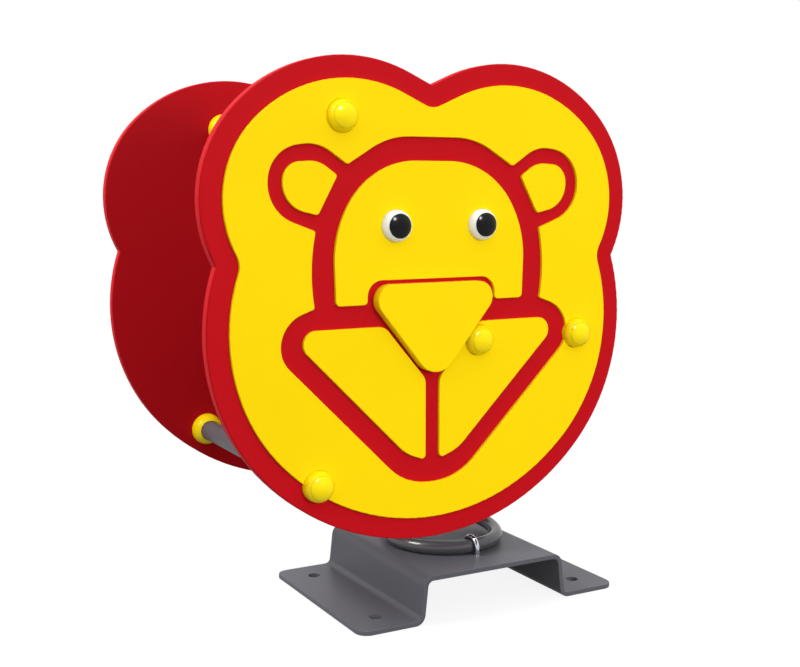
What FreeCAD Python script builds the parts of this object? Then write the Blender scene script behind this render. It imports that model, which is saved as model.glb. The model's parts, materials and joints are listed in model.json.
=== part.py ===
import FreeCAD, Part
import math
import operator
import os
from types import SimpleNamespace

import Sketcher

# Spring rocker for one small child: two lion-face boards, a seat between them, and one coil spring
# on a bent steel base that is anchored to the ground.
#
# Frame: millimetres, +Z up. The origin is on the ground at the centre of the anchor holes, under
# the spring axis. The rider faces -X. The boards stand across Y, the front board at -Y.
# The boards' outlines are drawn about their own centre line and the height of their side notches.

UP = FreeCAD.Vector(0, 0, 1)
ALONG_X = FreeCAD.Vector(1, 0, 0)
FRONT, REAR = -1, 1
SIDE_NAMES = {FRONT: "front", REAR: "rear"}

SIZES = (
    ("board_gap", 460, "clear distance between the two boards"),
    ("board_thickness", 18, "red board"),
    ("board_lead", 169, "boards' centre line ahead of the spring axis"),
    ("notch_height", 593.5, "side notches above the ground"),
    ("lobe_radius", 245, "upper lobe, main arc"),
    ("lobe_across", 135, "centre of the main arc from the centre line"),
    ("lobe_rise", 59, "centre of the main arc above the side notches"),
    ("lobe_side_radius", 191, "upper lobe, tighter arc down to the side notch"),
    ("lobe_blend_angle", 45, "where the two lobe arcs meet, above the horizontal"),
    ("top_notch_slope", 24, "slope of the straight runs into the top notch"),
    ("jaw_radius", 308, "side arc below the notch"),
    ("chin_radius", 377, "bottom arc"),
    ("chin_drop", 43.5, "centre of the bottom arc below the side notches"),
    ("jaw_blend_angle", 44, "where the side and bottom arcs meet, below the horizontal"),
    ("board_edge_radius", 2, "rounded edges of the red boards and the seat"),
    ("rim_width", 33, "red rim left around the mane panel"),
    ("face_thickness", 5, "yellow panels"),
    ("nose_thickness", 18, "yellow nose block"),
    ("face_edge_radius", 1, "rounded front edges of the yellow pieces"),
    ("eye_left_across", -63, "left eye from the centre line"),
    ("eye_right_across", 86, "right eye from the centre line"),
    ("eye_rise", 60, "eyes above the side notches"),
    ("eye_screw_diameter", 5, "screw that holds an eye"),
    ("eye_screw_depth", 12, "how far an eye screw goes into the board"),
    ("eye_screw_head", 3.5, "head height"),
    ("cap_diameter", 48, "domed cap over a bolt, and eye"),
    ("cap_rise", 20.5, "top of the dome above the yellow face"),
    ("cap_floor", 3, "floor of the cap ring under the washer"),
    ("cap_wall", 2, "wall of ring lip and lid"),
    ("lid_diameter", 37, "seam between ring and lid"),
    ("lid_skirt", 5, "skirt of the lid inside the ring"),
    ("seam_step", 0.3, "lid set in at the seam"),
    ("crown_flat", 2, "flat across the top of a dome"),
    ("fit_gap", 0.2, "assembly clearance between pieces of one body"),
    ("running_gap", 0.3, "clearance of the spring wire to what holds it"),
    ("thread_gap", 0.1, "radial clearance of bolts in threaded pieces"),
    ("tube_diameter", 33.7, "cross tubes"),
    ("tube_wall", 2.6, "cross tubes"),
    ("handle_lead", 319.5, "handle tube ahead of the spring axis"),
    ("handle_height", 811, "handle tube above the ground"),
    ("footrest_lead", 361, "footrest tube ahead of the spring axis"),
    ("footrest_height", 276.5, "footrest tube above the ground"),
    ("seat_tube_spacing", 186, "between the two seat tubes"),
    ("seat_tube_height", 476, "seat tubes above the ground"),
    ("plug_length", 14, "threaded plug in a tube end"),
    ("collar_diameter", 56, "half-ball collar inside each board"),
    ("bolt_diameter", 10, "bolt into a tube end"),
    ("bolt_hole_diameter", 11, "clearance hole for it"),
    ("bolt_flats", 16, "hex head across flats"),
    ("bolt_head", 6.4, "hex head height"),
    ("bolt_reach", 12, "thread engaged in the plug"),
    ("washer_diameter", 26, "washer under the bolt head"),
    ("washer_thickness", 2, "washer under the bolt head"),
    ("spring_diameter", 215, "outside of the coil spring"),
    ("wire_diameter", 24, "spring wire"),
    ("spring_turns", 4.25, "rising turns between the two flat ends"),
    ("flat_angle", 230, "how far each flat end turn reaches"),
    ("lead_in_angle", 40, "how far the wire takes to reach its full slope"),
    ("wire_end_angle", 90, "direction of the lower wire end from the axis"),
    ("base_length", 508, "base plate fore and aft"),
    ("base_width", 350, "base plate across"),
    ("base_height", 80, "top of the platform above the ground"),
    ("plate_thickness", 8, "base plate and top plate"),
    ("platform_length", 272, "platform fore and aft, to its sharp corners"),
    ("riser_splay", 8, "how far a riser's foot stands out from its top"),
    ("bend_radius", 10, "inside radius of the plate's bends"),
    ("base_corner_radius", 22, "rounded flange corners"),
    ("base_edge_radius", 1.2, "broken edges of the base plate"),
    ("anchor_spacing_long", 400, "anchor holes fore and aft"),
    ("anchor_spacing_wide", 242, "anchor holes across"),
    ("anchor_hole_diameter", 22, "anchor holes"),
    ("u_bolt_rod", 8, "U-bolts over the spring wire"),
    ("u_bolt_span", 38, "between the legs of a U-bolt"),
    ("u_bolt_hole_diameter", 9, "holes for their legs"),
    ("u_bolt_tail", 3, "leg past the nut"),
    ("small_washer_diameter", 16, "washers of the U-bolts and the seat bolts"),
    ("small_washer_thickness", 1.6, "washers of the U-bolts and the seat bolts"),
    ("small_nut_flats", 13, "nuts of the U-bolts and the seat bolts"),
    ("small_nut_height", 6.5, "nuts of the U-bolts and the seat bolts"),
    ("top_plate_length", 224, "top plate fore and aft"),
    ("top_plate_width", 262, "top plate across"),
    ("top_plate_corner", 20, "rounded corners of the top plate"),
    ("cradle_height", 6, "seat tubes above the top plate"),
    ("gusset_thickness", 6, "gussets that cradle the seat tubes"),
    ("gusset_spacing", 70, "between the two gussets"),
    ("seat_length", 310, "seat board fore and aft"),
    ("seat_side_gap", 4, "seat board clear of the collars on each side"),
    ("seat_thickness", 18, "seat board"),
    ("seat_setback", 6, "seat and its tubes, centre behind the spring axis"),
    ("seat_corner", 35, "rounded corners of the seat board"),
    ("seat_edge_radius", 5, "rounded top edge of the seat board"),
    ("strap_thickness", 3, "straps that hold the seat to its tubes"),
    ("strap_width", 26, "straps that hold the seat to its tubes"),
    ("strap_spacing", 310, "straps of one tube, across"),
    ("strap_ear", 44, "end of a strap's ear from the tube axis"),
    ("strap_bolt_offset", 32, "seat bolt from the tube axis"),
    ("seat_bolt_rod", 8, "seat bolt"),
    ("seat_bolt_head_diameter", 18, "domed head of a seat bolt"),
    ("seat_bolt_head", 4.5, "domed head height"),
)

# Corners of the face pieces: across from the centre line, up from the side notches, corner radius.
# Symmetric outlines list their right half from the top down.
MANE_OPENING = (
    (74, 190.5, 120), (142, 149, 6), (188, 180, 60), (264, 170, 53), (267, 81.5, 58), (193, 54, 4),
    (204, 0, 280), (195.5, -57, 4), (240, -73, 50), (254, -124, 45), (45.5, -332.5, 100),
)
FOREHEAD = ((104, 155.5, 130), (165, 50, 160), (161.5, -55, 7), (110.5, -55, 6), (110, -19.5, 24))
CHEEK = ((82, -88.5, 20), (242, -88.5, 20), (45.5, -285, 70), (12, -297, 6), (12, -171.5, 22))
EAR = ((158, 133.5, 5), (188, 154.5, 45), (243, 151, 28), (243, 89.5, 42), (189, 76.5, 6))
NOSE = ((125, -25.5, 24), (0, -180.5, 34))

# Where the clamps stand round the spring axis, in degrees from +X. The flat turns reach all of them.
LOWER_CLAMP_ANGLES = (136, 271)
UPPER_CLAMP_ANGLES = (95, 238)


OPERATORS = {"+": operator.add, "-": operator.sub, "*": operator.mul, "/": operator.truediv}


class Measure:
    """A number together with the formula of sheet cells that gives it."""

    def __init__(self, number, formula=None):
        self.number = float(number)
        self.formula = formula or f"({self.number})"

    def __float__(self):
        return self.number

    def __add__(self, other):
        return combine(self, "+", other)

    def __sub__(self, other):
        return combine(self, "-", other)

    def __mul__(self, other):
        return combine(self, "*", other)

    def __truediv__(self, other):
        return combine(self, "/", other)

    def __neg__(self):
        return combine(Measure(0), "-", self)


def combine(left, sign, right):
    right = right if isinstance(right, Measure) else Measure(right)
    number = OPERATORS[sign](left.number, right.number)
    return Measure(number, f"({left.formula} {sign} {right.formula})")


# ---------------------------------------------------------------- document and sheet

doc = FreeCAD.newDocument("spring_rocker")
sheet = doc.addObject("Spreadsheet::Sheet", "Sizes")
for row, (alias, number, meaning) in enumerate(SIZES, 1):
    sheet.set(f"A{row}", meaning)
    sheet.set(f"B{row}", str(number))
    sheet.setAlias(f"B{row}", alias)
doc.recompute()
size = SimpleNamespace(**{alias: Measure(sheet.get(alias), f"Sizes.{alias}") for alias, _, _ in SIZES})

# Places that several pieces share.
board_inner = size.board_gap / 2
board_outer = board_inner + size.board_thickness
tube_radius = size.tube_diameter / 2
plate_top = size.seat_tube_height - tube_radius - size.cradle_height
plate_bottom = plate_top - size.plate_thickness
seat_bottom = size.seat_tube_height + tube_radius
coil_radius = (size.spring_diameter - size.wire_diameter) / 2
wire_radius = size.wire_diameter / 2
lower_wire_height = size.base_height + size.running_gap + wire_radius
arch_above_plate = size.wire_diameter + size.running_gap * 2 - (size.u_bolt_span - size.u_bolt_rod) / 2
upper_wire_height = plate_bottom - size.running_gap - wire_radius
tube_places = {
    "handle": (-size.handle_lead, size.handle_height),
    "footrest": (-size.footrest_lead, size.footrest_height),
    "front_seat": (size.seat_setback - size.seat_tube_spacing / 2, size.seat_tube_height),
    "rear_seat": (size.seat_setback + size.seat_tube_spacing / 2, size.seat_tube_height),
}
nodes = {}


# ---------------------------------------------------------------- small helpers


def keep(thing, label):
    """Register a finished sub-part under its node name."""
    thing.Label = label
    nodes[label] = thing
    return thing


def bind(thing, **properties):
    """Bind properties to sheet formulas; a double underscore in a name stands for a dot."""
    for name, measure in properties.items():
        thing.setExpression(name.replace("__", "."), measure.formula)


def move(thing, x=None, y=None, z=None):
    for axis, measure in (("x", x), ("y", y), ("z", z)):
        if measure is not None:
            thing.setExpression(f"Placement.Base.{axis}", measure.formula)


def flat_point(across, up):
    return FreeCAD.Vector(float(across), float(up), 0)


def polar(centre, radius, degrees):
    turn = math.radians(degrees)
    return centre + FreeCAD.Vector(math.cos(turn), math.sin(turn), 0) * radius


def line(start, end):
    return Part.LineSegment(start, end)


def arc(centre, radius, start, end):
    """Arc drawn anticlockwise between two angles in degrees."""
    circle = Part.Circle(centre, UP, radius)
    return Part.ArcOfCircle(circle, math.radians(start), math.radians(end))


def arc_through(start, middle, end):
    """Arc through three points, always stored anticlockwise, as sketches keep them."""
    clockwise = (middle - start).cross(end - middle).z < 0
    return Part.Arc(end, middle, start) if clockwise else Part.Arc(start, middle, end)


def mirrored(geometry):
    """The same lines and arcs on the other side of the centre line."""
    twins = []
    for item in geometry:
        twin = item.copy()
        twin.mirror(FreeCAD.Vector(0, 0, 0), FreeCAD.Vector(0, 1, 0))
        twins.append(as_sketch_geometry(twin.toShape()))
    return twins


def as_sketch_geometry(edge):
    ends = [vertex.Point for vertex in edge.Vertexes]
    if isinstance(edge.Curve, Part.Line):
        return line(*ends)
    middle = edge.valueAt((edge.FirstParameter + edge.LastParameter) / 2)
    return arc_through(edge.valueAt(edge.FirstParameter), middle, edge.valueAt(edge.LastParameter))


def polygon(points):
    return [line(points[i - 1], points[i]) for i in range(len(points))]


def rounded_outline(corners):
    """Closed outline of straight runs and tangent arcs. Neighbouring arcs share a run that is short."""
    points = [flat_point(across, up) for across, up, radius in corners]
    count = len(points)
    halves, setbacks = [], []
    for i, (across, up, radius) in enumerate(corners):
        back = points[i - 1] - points[i]
        ahead = points[(i + 1) % count] - points[i]
        halves.append(back.getAngle(ahead) / 2)
        setbacks.append(float(radius) / math.tan(halves[i]))
    shares = [1.0] * count
    for i in range(count):
        after = (i + 1) % count
        run = points[i].distanceToPoint(points[after])
        share = run / max(run, setbacks[i] + setbacks[after])
        shares[i] = min(shares[i], share)
        shares[after] = min(shares[after], share)
    geometry, starts, ends = [], [], []
    for i in range(count):
        setback = setbacks[i] * shares[i]
        back = (points[i - 1] - points[i]).normalize()
        ahead = (points[(i + 1) % count] - points[i]).normalize()
        reach = setback / math.cos(halves[i]) - setback * math.tan(halves[i])
        starts.append(points[i] + back * setback)
        ends.append(points[i] + ahead * setback)
        middle = points[i] + (back + ahead).normalize() * reach
        if setback:
            geometry.append(arc_through(starts[i], middle, ends[i]))
    for i in range(count):
        if ends[i - 1].distanceToPoint(starts[i]) > 1e-6:
            geometry.append(line(ends[i - 1], starts[i]))
    return geometry


def both_halves(corners):
    """Corner list of a symmetric outline from its right half; a corner on the centre line stays single."""
    left = [(-across, up, radius) for across, up, radius in reversed(corners) if across]
    return list(corners) + left


def other_side(corners):
    return [(-across, up, radius) for across, up, radius in reversed(corners)]


def rectangle(length, width, radius):
    across, up = float(length) / 2, float(width) / 2
    corners = [(-across, -up), (across, -up), (across, up), (-across, up)]
    return rounded_outline([(*corner, radius) for corner in corners])


# ---------------------------------------------------------------- feature helpers


def new_body(name):
    body = doc.addObject("PartDesign::Body", name)
    body.Label = name
    return body


def add_sketch(body, name, plane, geometry=(), offset=None):
    """Sketch on an origin plane of the body, moved along the plane's normal by the offset."""
    sketch = body.newObject("Sketcher::SketchObject", name)
    support = [item for item in body.Origin.OriginFeatures if item.Role == plane][0]
    sketch.AttachmentSupport = [(support, "")]
    sketch.MapMode = "FlatFace"
    if offset is not None:
        sketch.setExpression("AttachmentOffset.Base.z", offset.formula)
    for item in geometry:
        index = sketch.addGeometry(item, False)
        sketch.addConstraint(Sketcher.Constraint("Block", index))
    return sketch


def add_circle(sketch, diameter, across=None, up=None):
    """Circle bound to the sheet; with no place given it sits on the sketch's origin."""
    middle = flat_point(across or 0, up or 0)
    index = sketch.addGeometry(Part.Circle(middle, UP, float(diameter) / 2), False)
    constraint = sketch.addConstraint(Sketcher.Constraint("Diameter", index, float(diameter)))
    sketch.setExpression(f"Constraints[{constraint}]", diameter.formula)
    if across is None:
        sketch.addConstraint(Sketcher.Constraint("Coincident", index, 3, -1, 1))
        return
    for kind, place in (("DistanceX", across), ("DistanceY", up)):
        constraint = sketch.addConstraint(Sketcher.Constraint(kind, -1, 1, index, 3, float(place)))
        sketch.setExpression(f"Constraints[{constraint}]", place.formula)


def add_pad(body, sketch, length, towards_plus=False, symmetric=False):
    pad = body.newObject("PartDesign::Pad", "pad")
    pad.Profile = sketch
    pad.Reversed = towards_plus
    pad.SideType = "Symmetric" if symmetric else "One side"
    bind(pad, Length=length)
    body.Tip = pad
    return pad


def add_pocket(body, sketch, depth=None, from_plus=False):
    """Cut through everything, or to a depth from the face the sketch lies on."""
    pocket = body.newObject("PartDesign::Pocket", "pocket")
    pocket.Profile = sketch
    if depth is None:
        pocket.Type = "ThroughAll"
        pocket.SideType = "Symmetric"
    else:
        pocket.Reversed = from_plus
        bind(pocket, Length=depth)
    body.Tip = pocket
    return pocket


def round_edges(body, radius, chosen):
    """Fillet the edges of the body's last feature that the test picks."""
    doc.recompute()
    base = body.Tip
    names = [f"Edge{n}" for n, edge in enumerate(base.Shape.Edges, 1) if chosen(edge)]
    fillet = body.newObject("PartDesign::Fillet", "rounded")
    fillet.Base = (base, names)
    bind(fillet, Radius=radius)
    body.Tip = fillet


def lies_at(axis, place):
    """Test for edges that lie flat in the plane where the axis has one of the given values."""
    places = [float(item) for item in place]

    def test(edge):
        values = [getattr(vertex.Point, axis) for vertex in edge.Vertexes]
        values.append(getattr(edge.CenterOfMass, axis))
        return any(all(abs(value - item) < 0.01 for value in values) for item in places)

    return test


def turned_body(name, geometry):
    """Solid of revolution about the body's own Z axis from a profile of radius and height."""
    body = new_body(name)
    sketch = add_sketch(body, "profile", "XZ_Plane", geometry)
    revolution = body.newObject("PartDesign::Revolution", "turned")
    revolution.Profile = sketch
    revolution.ReferenceAxis = (sketch, ["V_Axis"])
    revolution.Angle = 360
    body.Tip = revolution
    return body


def ring_body(name, outer, inner, height):
    body = new_body(name)
    sketch = add_sketch(body, "profile", "XY_Plane")
    add_circle(sketch, outer)
    add_circle(sketch, inner)
    add_pad(body, sketch, height)
    return body


def cylinder(name, diameter, height, x=None, z=None):
    item = doc.addObject("Part::Cylinder", name)
    bind(item, Radius=diameter / 2, Height=height)
    move(item, x=x, z=z)
    return item


def hexagon(name, flats, height, z=None):
    item = doc.addObject("Part::Prism", name)
    item.Polygon = 6
    bind(item, Circumradius=flats / math.sqrt(3), Height=height)
    move(item, z=z)
    return item


def fused(name, *things):
    item = doc.addObject("Part::MultiFuse", name)
    item.Shapes = list(things)
    return item


def cut(name, base, tool):
    item = doc.addObject("Part::Cut", name)
    item.Base = base
    item.Tool = tool
    return item


def group(label, template, placements):
    """One node that holds a copy of the template at each placement."""
    links = []
    for number, placement in enumerate(placements, 1):
        link = doc.addObject("App::Link", f"{label}_{number}")
        link.LinkedObject = template
        link.Placement = placement
        links.append(link)
    compound = doc.addObject("Part::Compound", label)
    compound.Links = links
    return keep(compound, label)


def at(x, y, z, rotation=FreeCAD.Rotation()):
    return FreeCAD.Placement(FreeCAD.Vector(float(x), float(y), float(z)), rotation)


def facing(direction):
    """Rotation that turns +Z to -Y (direction -1) or to +Y (direction 1)."""
    return FreeCAD.Rotation(ALONG_X, -90 * direction)


def on_board(across, up):
    """Place of a board feature in the frame's X and Z."""
    return float(across) - float(size.board_lead), float(up) + float(size.notch_height)


# ---------------------------------------------------------------- outlines


def crossing(first_centre, first_radius, second_centre, second_radius):
    """The crossing of two circles that lies further from the centre line."""
    gap = second_centre - first_centre
    along = (gap.Length ** 2 + first_radius ** 2 - second_radius ** 2) / (2 * gap.Length)
    aside = math.sqrt(first_radius ** 2 - along ** 2)
    foot = first_centre + gap * (along / gap.Length)
    swing = FreeCAD.Vector(-gap.y, gap.x, 0) * (aside / gap.Length)
    return max(foot + swing, foot - swing, key=lambda place: place.x)


def direction_of(centre, place):
    return math.degrees(math.atan2(place.y - centre.y, place.x - centre.x))


def board_outline():
    """Two upper lobes that meet in the top notch, and a round lower part below the side notches."""
    lobe_radius = float(size.lobe_radius)
    side_radius = float(size.lobe_side_radius)
    jaw_radius = float(size.jaw_radius)
    chin_radius = float(size.chin_radius)
    blend = float(size.lobe_blend_angle)
    jaw_blend = -float(size.jaw_blend_angle)
    slope = float(size.top_notch_slope)
    lobe_centre = flat_point(size.lobe_across, size.lobe_rise)
    side_centre = polar(lobe_centre, lobe_radius - side_radius, blend)
    chin_centre = flat_point(0, -size.chin_drop)
    jaw_centre = polar(chin_centre, chin_radius - jaw_radius, jaw_blend)
    notch = crossing(side_centre, side_radius, jaw_centre, jaw_radius)
    shoulder = polar(lobe_centre, lobe_radius, 90 + slope)
    top_notch = flat_point(0, shoulder.y - shoulder.x * math.tan(math.radians(slope)))
    half = [
        line(top_notch, shoulder),
        arc(lobe_centre, lobe_radius, blend, 90 + slope),
        arc(side_centre, side_radius, direction_of(side_centre, notch), blend),
        arc(jaw_centre, jaw_radius, jaw_blend, direction_of(jaw_centre, notch)),
    ]
    chin = arc(chin_centre, chin_radius, -180 - jaw_blend, jaw_blend)
    return half + mirrored(half) + [chin]


def inset_outline(geometry, inset):
    """The outline drawn in by the inset, its notches rounded by the same amount."""
    edges = Part.sortEdges([item.toShape() for item in geometry])[0]
    wire = Part.Wire(edges).makeOffset2D(-float(inset))
    return [as_sketch_geometry(edge) for edge in wire.Edges]


# ---------------------------------------------------------------- boards and face pieces

BOARD_OUTLINE = board_outline()
tube_spots = [(x + size.board_lead, z - size.notch_height) for x, z in tube_places.values()]
eye_spots = [(size.eye_left_across, size.eye_rise), (size.eye_right_across, size.eye_rise)]
cap_hole = size.cap_diameter + size.fit_gap * 2


def panel(label, side, inner, thickness, outline):
    """Flat piece parallel to the boards: inner is its near face's distance from the middle plane."""
    body = new_body(label)
    sketch = add_sketch(body, "outline", "XZ_Plane", outline, inner * -side)
    add_pad(body, sketch, thickness, towards_plus=side > 0)
    move(body, x=-size.board_lead, z=size.notch_height)
    return keep(body, label)


def reached(outline, spots):
    """Cap places whose hole touches the piece inside this outline."""
    edges = Part.sortEdges([item.toShape() for item in outline])
    face = Part.makeFace([Part.Wire(run) for run in edges], "Part::FaceMakerBullseye")
    radius = float(cap_hole) / 2
    return [spot for spot in spots if face.distToShape(Part.Vertex(flat_point(*spot)))[0] < radius]


def cut_holes(body, spots, diameter):
    sketch = add_sketch(body, "holes", "XZ_Plane")
    for across, up in spots:
        add_circle(sketch, diameter, across, up)
    add_pocket(body, sketch)


def make_board(side):
    body = panel(f"{SIDE_NAMES[side]}_board", side, board_inner, size.board_thickness, BOARD_OUTLINE)
    round_edges(body, size.board_edge_radius, lies_at("y", [board_inner * side, board_outer * side]))
    cut_holes(body, tube_spots, size.bolt_hole_diameter)
    pilots = add_sketch(body, "screw_pilots", "XZ_Plane", offset=board_outer * -side)
    for across, up in eye_spots:
        add_circle(pilots, size.eye_screw_diameter + size.thread_gap * 2, across, up)
    add_pocket(body, pilots, size.eye_screw_depth + size.fit_gap, from_plus=side > 0)


def make_face(side):
    """Mane, forehead, cheeks, ears and nose of one board, all with rounded front edges."""
    name = SIDE_NAMES[side]
    pieces = {
        "mane": inset_outline(BOARD_OUTLINE, size.rim_width) + rounded_outline(both_halves(MANE_OPENING)),
        "forehead": rounded_outline(both_halves(FOREHEAD)),
        "cheek_right": rounded_outline(CHEEK),
        "cheek_left": rounded_outline(other_side(CHEEK)),
        "ear_right": rounded_outline(EAR),
        "ear_left": rounded_outline(other_side(EAR)),
        "nose": rounded_outline(both_halves(NOSE)),
    }
    for piece, outline in pieces.items():
        thickness = size.nose_thickness if piece == "nose" else size.face_thickness
        body = panel(f"{name}_{piece}", side, board_outer, thickness, outline)
        spots = reached(outline, tube_spots + eye_spots)
        if spots:
            cut_holes(body, spots, cap_hole)
        round_edges(body, size.face_edge_radius, lies_at("y", [(board_outer + thickness) * side]))


# ---------------------------------------------------------------- caps, eyes and their fasteners


def dome(grown, start_radius, end_radius=float(size.crown_flat) / 2):
    """Part of the dome's elliptical section between two radii; grown moves it out from the outer skin."""
    major = float(size.cap_diameter) / 2 + grown
    minor = float(size.cap_rise) + grown
    ellipse = Part.Ellipse(flat_point(0, size.face_thickness), major, minor)
    return Part.ArcOfEllipse(ellipse, math.acos(start_radius / major), math.acos(end_radius / major))


def cap_ring(name, hole_diameter):
    """Ring that stands on the board in the yellow panel's hole and curves up to the lid's seam."""
    outer = float(size.cap_diameter) / 2
    seam = float(size.lid_diameter) / 2
    bore = seam - float(size.cap_wall)
    hole = float(hole_diameter) / 2
    floor = float(size.cap_floor)
    shell = dome(0, outer, seam)
    rim = shell.EndPoint
    points = [
        rim, flat_point(bore, rim.y), flat_point(bore, floor), flat_point(hole, floor),
        flat_point(hole, 0), flat_point(outer, 0), shell.StartPoint,
    ]
    return turned_body(name, [shell] + [line(a, b) for a, b in zip(points, points[1:])])


def cap_lid(name):
    """Domed lid that rests on the ring's lip and snaps into it with a skirt."""
    wall = float(size.cap_wall)
    seam = float(size.lid_diameter) / 2
    lip = dome(0, seam).StartPoint.y
    skirt = seam - wall - float(size.fit_gap)
    outside = dome(0, seam - float(size.seam_step))
    inside = dome(-wall, skirt - wall)
    foot = lip - float(size.lid_skirt)
    points = [
        outside.StartPoint, flat_point(seam - float(size.seam_step), lip), flat_point(skirt, lip),
        flat_point(skirt, foot), flat_point(skirt - wall, foot), inside.StartPoint,
    ]
    crown = [
        inside.EndPoint, flat_point(0, inside.EndPoint.y), flat_point(0, outside.EndPoint.y),
        outside.EndPoint,
    ]
    runs = list(zip(points, points[1:])) + list(zip(crown, crown[1:]))
    return turned_body(name, [outside, inside] + [line(a, b) for a, b in runs])


def hex_bolt():
    under_head = size.cap_floor + size.washer_thickness
    depth = size.board_thickness + size.bolt_reach
    head = hexagon("bolt_head", size.bolt_flats, size.bolt_head, under_head)
    shank = cylinder("bolt_shank", size.bolt_diameter, under_head + depth, z=-depth)
    return fused("tube_bolt", head, shank)


def eye_screw():
    head = cylinder("screw_head", size.eye_screw_diameter * 2, size.eye_screw_head, z=size.cap_floor)
    length = size.cap_floor + size.eye_screw_depth
    shank = cylinder("screw_shank", size.eye_screw_diameter, length, z=-size.eye_screw_depth)
    return fused("eye_screw", head, shank)


def make_caps_and_fasteners():
    screw_hole = size.eye_screw_diameter + size.fit_gap * 2
    ring = cap_ring("cap_ring", size.bolt_hole_diameter)
    eye_ring = cap_ring("eye_ring", screw_hole)
    lid = cap_lid("cap_lid")
    washer = ring_body("tube_washer", size.washer_diameter, size.bolt_hole_diameter, size.washer_thickness)
    bolt = hex_bolt()
    screw = eye_screw()
    for side, name in SIDE_NAMES.items():
        outwards = facing(side)
        bolts_at = [at(x, board_outer * side, z, outwards) for x, z in tube_places.values()]
        raised = board_outer + size.cap_floor
        washers_at = [at(x, raised * side, z, outwards) for x, z in tube_places.values()]
        eyes_at = []
        for spot in eye_spots:
            x, z = on_board(*spot)
            eyes_at.append(at(x, board_outer * side, z, outwards))
        group(f"{name}_cap_rings", ring, bolts_at)
        group(f"{name}_cap_lids", lid, bolts_at)
        group(f"{name}_tube_bolts", bolt, bolts_at)
        group(f"{name}_tube_washers", washer, washers_at)
        group(f"{name}_eye_whites", eye_ring, eyes_at)
        group(f"{name}_eye_pupils", lid, eyes_at)
        group(f"{name}_eye_screws", screw, eyes_at)


# ---------------------------------------------------------------- tubes


def make_tube(label, place):
    body = new_body(label)
    sketch = add_sketch(body, "section", "XZ_Plane")
    add_circle(sketch, size.tube_diameter)
    add_circle(sketch, size.tube_diameter - size.tube_wall * 2)
    add_pad(body, sketch, size.board_gap, symmetric=True)
    move(body, x=place[0], z=place[1])
    keep(body, label)


def half_ball_collar():
    """Half ball with its flat face on the board and the tube through it."""
    radius = float(size.collar_diameter) / 2
    bore = float(tube_radius + size.fit_gap)
    start = math.degrees(math.acos(bore / radius))
    ball = arc(flat_point(0, 0), radius, 0, start)
    corner = flat_point(bore, 0)
    profile = [ball, line(ball.EndPoint, corner), line(corner, ball.StartPoint)]
    return turned_body("collar", profile)


def make_tubes():
    for name, place in tube_places.items():
        make_tube(f"{name}_tube", place)
    bore = size.tube_diameter - size.tube_wall * 2 - size.thread_gap * 2
    plug = ring_body("tube_plug", bore, size.bolt_diameter + size.thread_gap * 2, size.plug_length)
    collar = half_ball_collar()
    ends = {name: [] for name in tube_places}
    for name, (x, z) in tube_places.items():
        for side in SIDE_NAMES:
            ends[name].append(at(x, board_inner * side, z, facing(-side)))
    group("tube_end_plugs", plug, sum(ends.values(), []))
    group("handle_collars", collar, ends["handle"])
    group("footrest_collars", collar, ends["footrest"])
    group("seat_tube_collars", collar, ends["front_seat"] + ends["rear_seat"])


# ---------------------------------------------------------------- spring


def wire_height(turned):
    """Height of the wire's centre after turning by an angle from the lower wire end, in degrees."""
    lower, upper = float(lower_wire_height), float(upper_wire_height)
    rising = float(size.spring_turns) * 360
    ramp = float(size.lead_in_angle)
    slope = (upper - lower) / (rising - ramp)
    climbed = min(max(turned - float(size.flat_angle), 0), rising)
    if climbed < ramp:
        return lower + slope * climbed ** 2 / (2 * ramp)
    if climbed > rising - ramp:
        return upper - slope * (rising - climbed) ** 2 / (2 * ramp)
    return lower + slope * (climbed - ramp / 2)


def wire_centre(turned):
    level = FreeCAD.Vector(0, 0, wire_height(turned))
    return polar(level, float(coil_radius), turned + float(size.wire_end_angle))


def make_spring():
    """Round wire swept along the coil: a flat end turn, the rising turns, and a flat end turn.

    The smooth curve is laid a few steps past both wire ends and then trimmed to them, so that it is
    as round at its ends as everywhere else.
    """
    total = float(size.spring_turns) * 360 + float(size.flat_angle) * 2
    count = round(total / 15)
    spare = 4
    points = [wire_centre(total * i / count) for i in range(-spare, count + spare + 1)]
    curve = Part.BSplineCurve()
    curve.interpolate(points)
    first, last = (curve.parameter(wire_centre(turned)) for turned in (0, total))
    spine = doc.addObject("Part::Feature", "spring_spine")
    spine.Shape = Part.Wire([curve.toShape(first, last)])
    section = doc.addObject("Part::Circle", "spring_section")
    bind(section, Radius=wire_radius)
    section.Placement = FreeCAD.Placement(wire_centre(0), FreeCAD.Rotation(UP, curve.tangent(first)[0]))
    sweep = doc.addObject("Part::Sweep", "spring")
    sweep.Sections = [section]
    sweep.Spine = (spine, ["Edge1"])
    sweep.Solid = True
    sweep.Frenet = True
    keep(sweep, "spring")


# ---------------------------------------------------------------- clamps of the spring


def u_bolt():
    """U-bolt drawn from the centre of its arch, with the arch on top and the legs pointing down."""
    half_span = size.u_bolt_span / 2
    stack = size.plate_thickness + size.small_washer_thickness + size.small_nut_height
    leg = arch_above_plate + stack + size.u_bolt_tail
    arch = doc.addObject("Part::Torus", "u_bolt_arch")
    arch.Angle3 = 180
    arch.Placement = FreeCAD.Placement(FreeCAD.Vector(0, 0, 0), FreeCAD.Rotation(ALONG_X, 90))
    bind(arch, Radius1=half_span, Radius2=size.u_bolt_rod / 2)
    near_leg = cylinder("u_bolt_near_leg", size.u_bolt_rod, leg, x=-half_span, z=-leg)
    far_leg = cylinder("u_bolt_far_leg", size.u_bolt_rod, leg, x=half_span, z=-leg)
    return fused("u_bolt", arch, near_leg, far_leg)


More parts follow.
